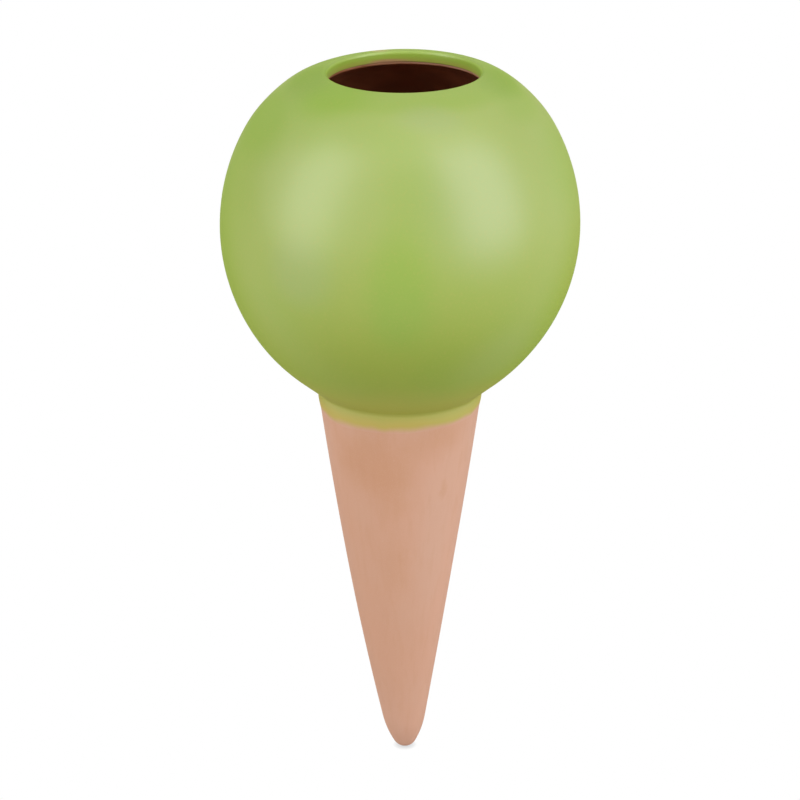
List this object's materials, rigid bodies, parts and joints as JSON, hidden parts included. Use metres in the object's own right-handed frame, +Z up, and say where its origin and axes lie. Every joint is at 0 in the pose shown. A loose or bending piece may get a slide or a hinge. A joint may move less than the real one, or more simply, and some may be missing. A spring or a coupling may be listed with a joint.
{
  "type": "self watering spike",
  "caption": "Hollow glazed ball with an open mouth, on a long hollow spike of bare clay that is pushed into soil and seeps water.",
  "frame": {"origin": "on the axis at the soil line, where the ball's underside meets the spike", "axes": "+Z up along the axis, out of the mouth; X and Y are alike"},
  "size_m": [0.0976, 0.0976, 0.2002],
  "materials": {
    "ball_clay": "matt, porous",
    "green_glaze": "satin gloss",
    "joint_slip": "matt",
    "spike_clay": "matt, porous",
    "thin_glaze": "thin, half matt"
  },
  "bodies": {
    "root": {"reservoir_ball": "ball_clay", "ball_glaze": "green_glaze", "luting_slip": "joint_slip", "spike": "spike_clay", "glaze_fringe": "thin_glaze"}
  },
  "joints": []
}
